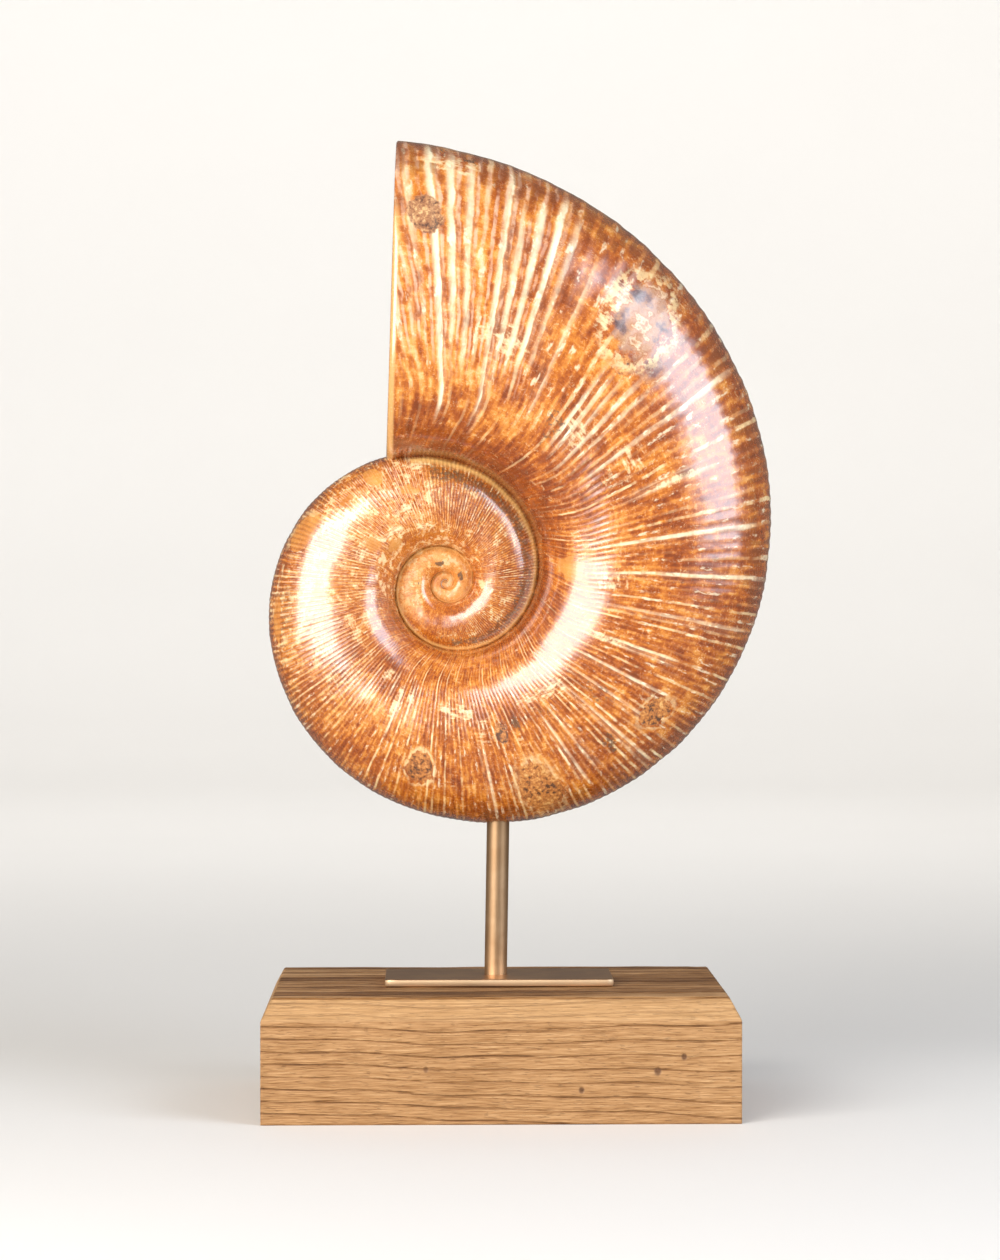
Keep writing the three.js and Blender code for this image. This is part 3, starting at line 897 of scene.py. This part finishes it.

# %% [markdown]
# The oak's finish repeats that ring count with Math nodes. Early wood is pale and open, late
# wood is a thin dark line. Pores are short dark dashes along the grain. The top has long streaks
# along it and is darkened as painted shade, and the planed edges are paler as painted light.

# %% Finish of the oak
oak = Finish("oiled_oak", IOR=1.45)
px, py, pz = (part * 1000 for part in oak.parts(oak.place))
wander = sum((px * kx + pz * kz + start).sine() * size for kx, kz, size, start in WAVES_OF_WOOD)
wander = wander + (px - SPREAD_X).kept_within(0, 200) * (pz - SPREAD_Z) * SPREAD
reach = ((py - PITH_Y) ** 2 + (pz - PITH_Z) ** 2) ** 0.5
along_grain = oak.joined(px * 0.03, py * 0.8, pz * 0.8)
fibres = oak.noise(1, 4, 0.65, along_grain)
fine_fibres = oak.noise(1, 3, 0.6, oak.joined(px * 0.09, py * 3.2, pz * 3.2))
pores = oak.noise(1, 2, 0.5, oak.joined(px * 0.22, py * 2.6, pz * 2.6)).step(0.6, 0.7)
broad = oak.noise(14, 2)
bands = oak.noise(1, 2, 0.5, oak.joined(px * 0.004, py * 0.12, pz * 0.12))

# %% Growth rings of the oak: early wood, a dark line of late wood, and hairlines between
rings_of_oak = (reach + wander + (fibres - 0.5) * 1.8 + (fine_fibres - 0.5) * 0.7) * (1 / RING_STEP)
place_in_ring = rings_of_oak.fraction()
late = place_in_ring.step(0.82, 0.9) * (1 - place_in_ring.step(0.93, 0.99))
glow = place_in_ring.step(0.45, 0.85) * (1 - late)
hairlines = (rings_of_oak * 3.1).fraction().step(0.75, 0.97) * fibres.step(0.4, 0.6)
late_strength = oak.chance(rings_of_oak.whole()) * 0.5 + 0.45

# %% Colour of the oak, with painted shade on its top and painted light on its planed edges
top_face = pz.step(51.8, 52.6)
grained = (fibres - 0.5) + (fine_fibres - 0.5) * 1.45 + (bands - 0.5) * top_face * 2.4
# Painted shade: top_face * 0.12 darkens the whole top.
shade = (0.6 + (broad - 0.5) * 0.3 + grained
         - glow * 0.05 - hairlines * 0.14 - late * late_strength * 0.5 - top_face * 0.12)
OAK_TONES = (
    (0.0, (0.11, 0.04, 0.008)), (0.3, (0.25, 0.108, 0.028)), (0.55, (0.4, 0.205, 0.077)),
    (0.75, (0.5, 0.275, 0.115)), (1.0, (0.64, 0.39, 0.19)))
oak_color = oak.ramp(shade.kept_within(), OAK_TONES)
oak_color = oak.mix(pores * 0.45, oak_color, (0.14, 0.055, 0.016))
# Painted light: the planed edges are made paler than the front.
chamfer_painted_light = pz.step(43.5, 44.5) * (1 - top_face)
oak_color = oak.mix(chamfer_painted_light * 0.22, oak_color, (0.86, 0.56, 0.28))


def pin_hole(x, z, size):
    """A small dark spot on the front, where a worm or a knot has been."""
    distance = ((px - x) ** 2 * 1.2 + (pz - z) ** 2 * 0.8) ** 0.5
    return (1 - distance.step(size * 0.5, size * 1.3)) * (1 - py.step(-60, -58))


holes = pin_hole(33.9, 14.6, 1.3) + pin_hole(66.2, 22.5, 1.7) + pin_hole(77.4, 28.6, 1.3)
holes = (holes + pin_hole(-32, 23.5, 1.2) * 0.7).kept_within()
oak_color = oak.mix(holes * 0.8, oak_color, (0.1, 0.035, 0.012))
oak_height = late * -0.1 - pores * 0.12 + (fine_fibres - 0.5) * 0.14 - holes * 0.3
oak_roughness = 0.5 + (fibres - 0.5) * 0.2 + late * 0.08
oak.wear(Base_Color=oak_color, Roughness=oak_roughness, height=oak_height)
oak.finish_piece(oak_block, "oak", "base")

# %% [markdown]
# ## The brass plate and rod
#
# Both are plain stock. The plate is cut from sheet, brushed along its length, with its edges
# just broken by a file. The rod is drawn bar, turned bright, and passes through a hole in the
# plate. The plate is one closed loop of rings: over the top, down the side, back underneath
# and up through the hole. Each ring blends between the round hole and the rectangle.

# %% Points of the plate
PLATE_X, PLATE_Y, PLATE_LOW, PLATE_HIGH = 50.0, 21.0, 53.3, 56.3
ROD_RADIUS, ROD_X, ROD_LEAN = 5.0, -1.3, math.radians(0.93)
turn = np.linspace(0, 2 * math.pi, 240, endpoint=False)
aim = np.stack([np.cos(turn), np.sin(turn)], -1)
CORNER_POWER = 60
to_side = (np.abs(aim[:, 0] / PLATE_X) ** CORNER_POWER
           + np.abs(aim[:, 1] / PLATE_Y) ** CORNER_POWER) ** (-1 / CORNER_POWER)
rectangle = aim * to_side[:, None]
circle = aim * (ROD_RADIUS + 0.08) + np.array([ROD_X, 0])


def plate_ring(blend, inset, z):
    """A ring at a height, from the hole (blend 0) to the outline (blend 1), drawn in by inset."""
    flat = circle * (1 - blend) + rectangle * blend
    flat = flat - np.sign(rectangle) * np.minimum(inset, np.abs(rectangle)) * (blend == 1)
    return np.column_stack([flat, np.full(len(turn), z)])


EASE = 0.35
plate_rings = np.stack(
    [plate_ring(b, 0, PLATE_HIGH) for b in (0.0, 0.02, 0.1, 0.3, 0.6, 0.9, 0.985)]
    + [plate_ring(1, EASE * (1 - math.sin(a)), PLATE_HIGH - EASE * (1 - math.cos(a)))
       for a in np.radians([0, 30, 60, 90])]
    + [plate_ring(1, 0, PLATE_LOW + EASE), plate_ring(1, EASE, PLATE_LOW)]
    + [plate_ring(b, 0, PLATE_LOW) for b in (0.9, 0.5, 0.1, 0.0)])
brass_plate = add_piece("brass_plate", plate_rings * MM)

# %% Points of the rod
ROD_LENGTH = 112.7
rod_heights = np.concatenate([[0, 0.05, 0.2, 0.5], np.linspace(1, 111.5, 60),
                              [112.2, 112.55, ROD_LENGTH]])
rod_radii = np.full(len(rod_heights), ROD_RADIUS)
rod_radii[:3] = [4.6, 4.85, 4.95]
rod_radii[-3:] = [4.95, 4.8, 4.5]
circle_turn = np.linspace(0, 2 * math.pi, 96, endpoint=False)
rod_x = ROD_X + rod_heights[:, None] * math.tan(ROD_LEAN) + rod_radii[:, None] * np.cos(circle_turn)
rod_y = rod_radii[:, None] * np.sin(circle_turn)
rod_z = np.broadcast_to(PLATE_LOW + rod_heights[:, None], rod_x.shape)
rod_top = [ROD_X + ROD_LENGTH * math.tan(ROD_LEAN), 0, PLATE_LOW + ROD_LENGTH]
rod_ends = np.array([[ROD_X, 0, PLATE_LOW], rod_top])
brass_rod = add_piece("brass_rod", np.stack([rod_x, rod_y, rod_z], -1) * MM, rod_ends * MM)

# %% [markdown]
# Brass shows its working: a brushed sheet carries fine scratches along it, and so does a bar
# that was polished lengthwise. Scratches are noise stretched some forty times in one
# direction. Fingers leave duller, browner patches.


# %% Finish of the brass
def brass(name, stretch, low, high, dull, sides=0.0):
    """Metal with scratches: noise squeezed by stretch (x, y, z), between two colours.

    Below the top of the plate, the sides are made duller, and paler as painted light, by the given
    amount.
    """
    metal = Finish(name, Metallic=1.0)
    bx, by, bz = metal.parts(metal.place)
    squeezed = metal.joined(bx * stretch[0], by * stretch[1], bz * stretch[2])
    scratches = metal.noise(1, 3, 0.6, squeezed)
    stains = metal.noise(60, 3, 0.6)
    tint = metal.mix((scratches - 0.5) * 0.6 + stains.step(0.35, 0.7), low, high)
    if sides:
        # Painted light: the plate's sides are made paler, and also rougher.
        duller_sides_with_painted_light = (1 - (bz * 1000).step(55.8, 56.2)) * sides
        tint = metal.mix(duller_sides_with_painted_light, tint, (0.98, 0.76, 0.5))
        dull = duller_sides_with_painted_light * 0.25 + dull
    metal.wear(Base_Color=tint, Roughness=dull + (scratches - 0.5) * 0.2 + (stains - 0.5) * 0.12,
               height=(scratches - 0.5) * 0.02)
    return metal


plate_finish = brass("brushed_brass", (60, 2500, 2500), (0.62, 0.36, 0.19), (0.74, 0.46, 0.25),
                     0.34, sides=0.9)
plate_finish.finish_piece(brass_plate, "plate_brass", "plate")
rod_finish = brass("turned_brass", (1800, 1800, 50), (0.52, 0.32, 0.17), (0.63, 0.42, 0.245), 0.48)
rod_finish.finish_piece(brass_rod, "rod_brass", "rod")

# %% [markdown]
# ## Floor and light
#
# Two soft boxes light the shell. The warm one on the left makes the white bands on the left
# flank and inside the coil, the smaller cool one on the right the pale bands on the other
# flanks. Each has a wider, dimmer glow behind it, because cloth over a lamp is brightest in the
# middle, so the bands fade at their edges. Two more lights face the wall into which the floor
# curves up all round, so every view has a plain pale ground. Polished stone in a dim room
# mirrors the lamps and little else, so floor and wall are kept out of reflections.

# %% Floor
sweep = np.array([[0.02, 0], [1.0, 0], [2.4, 0], [2.8, 0.06], [3.1, 0.25], [3.3, 0.6],
                  [3.35, 1.2], [3.35, 3.2]])
FLOOR_SIDES = 96
floor_turn = np.linspace(0, 2 * math.pi, FLOOR_SIDES, endpoint=False)
floor_rings = np.stack([sweep[:, :1] * np.cos(floor_turn), sweep[:, :1] * np.sin(floor_turn),
                        np.repeat(sweep[:, 1:], FLOOR_SIDES, 1)], -1)
floor_points = np.vstack([floor_rings.reshape(-1, 3), [[0, 0, 0]]])
floor_faces = (ring_faces(len(sweep), FLOOR_SIDES, False).tolist()
               + fan_faces(len(sweep) * FLOOR_SIDES, 0, FLOOR_SIDES).tolist())
floor = in_scene("floor", smooth_mesh("floor", floor_points, floor_faces))
paper = Finish("pale_paper", Roughness=0.9)
paper.wear(Base_Color=paper.mix(paper.noise(3, 2), (0.86, 0.85, 0.83), (0.88, 0.87, 0.85)))
floor.data.materials.append(paper.material)
floor.visible_glossy = False


# %% Lights
def soft_box(name, azimuth, elevation, distance, width, height, radiance, color, look_away=False):
    """A rectangular light in a given direction, aimed at the shell's middle or at the wall."""
    light = bpy.data.lights.new(name, "AREA")
    light.shape = "RECTANGLE"
    light.size, light.size_y = width, height
    light.energy = radiance * math.pi * width * height
    light.color = color
    box = in_scene(name, light)
    a, e = math.radians(azimuth), math.radians(elevation)
    middle = np.array([-0.02, 0, 0.24])
    toward = np.array([math.sin(a) * math.cos(e), -math.cos(a) * math.cos(e), math.sin(e)])
    box.location = middle + distance * toward
    tilt, heading = (70, azimuth - 180) if look_away else (90 - elevation, azimuth)
    box.rotation_euler = (math.radians(tilt), 0, math.radians(heading))
    box.visible_camera = False
    print(name, "at", np.round(box.location, 2), "m,", round(light.energy), "W")


soft_box("left_box", -38, 16, 1.35, 1.08, 1.02, 4.4, (1.0, 0.97, 0.93))
soft_box("left_glow", -38, 16, 1.37, 1.42, 1.32, 1.6, (1.0, 0.96, 0.9))
soft_box("right_box", 55, 20, 1.4, 0.7, 1.1, 3.4, (0.8, 0.88, 1.0))
soft_box("right_glow", 55, 20, 1.42, 1.05, 1.45, 1.3, (0.8, 0.88, 1.0))
soft_box("wall_light", 180, 62, 1.9, 2.4, 0.6, 9.0, (1.0, 0.98, 0.96), look_away=True)
soft_box("front_wall_light", 0, 62, 1.9, 2.4, 0.6, 3.5, (1.0, 0.98, 0.96), look_away=True)
world = bpy.data.worlds.new("studio")
world.use_nodes = True
world.node_tree.nodes["Background"].inputs[0].default_value = (1.0, 0.95, 0.9, 1)
world.node_tree.nodes["Background"].inputs[1].default_value = 0.18
bpy.context.scene.world = world
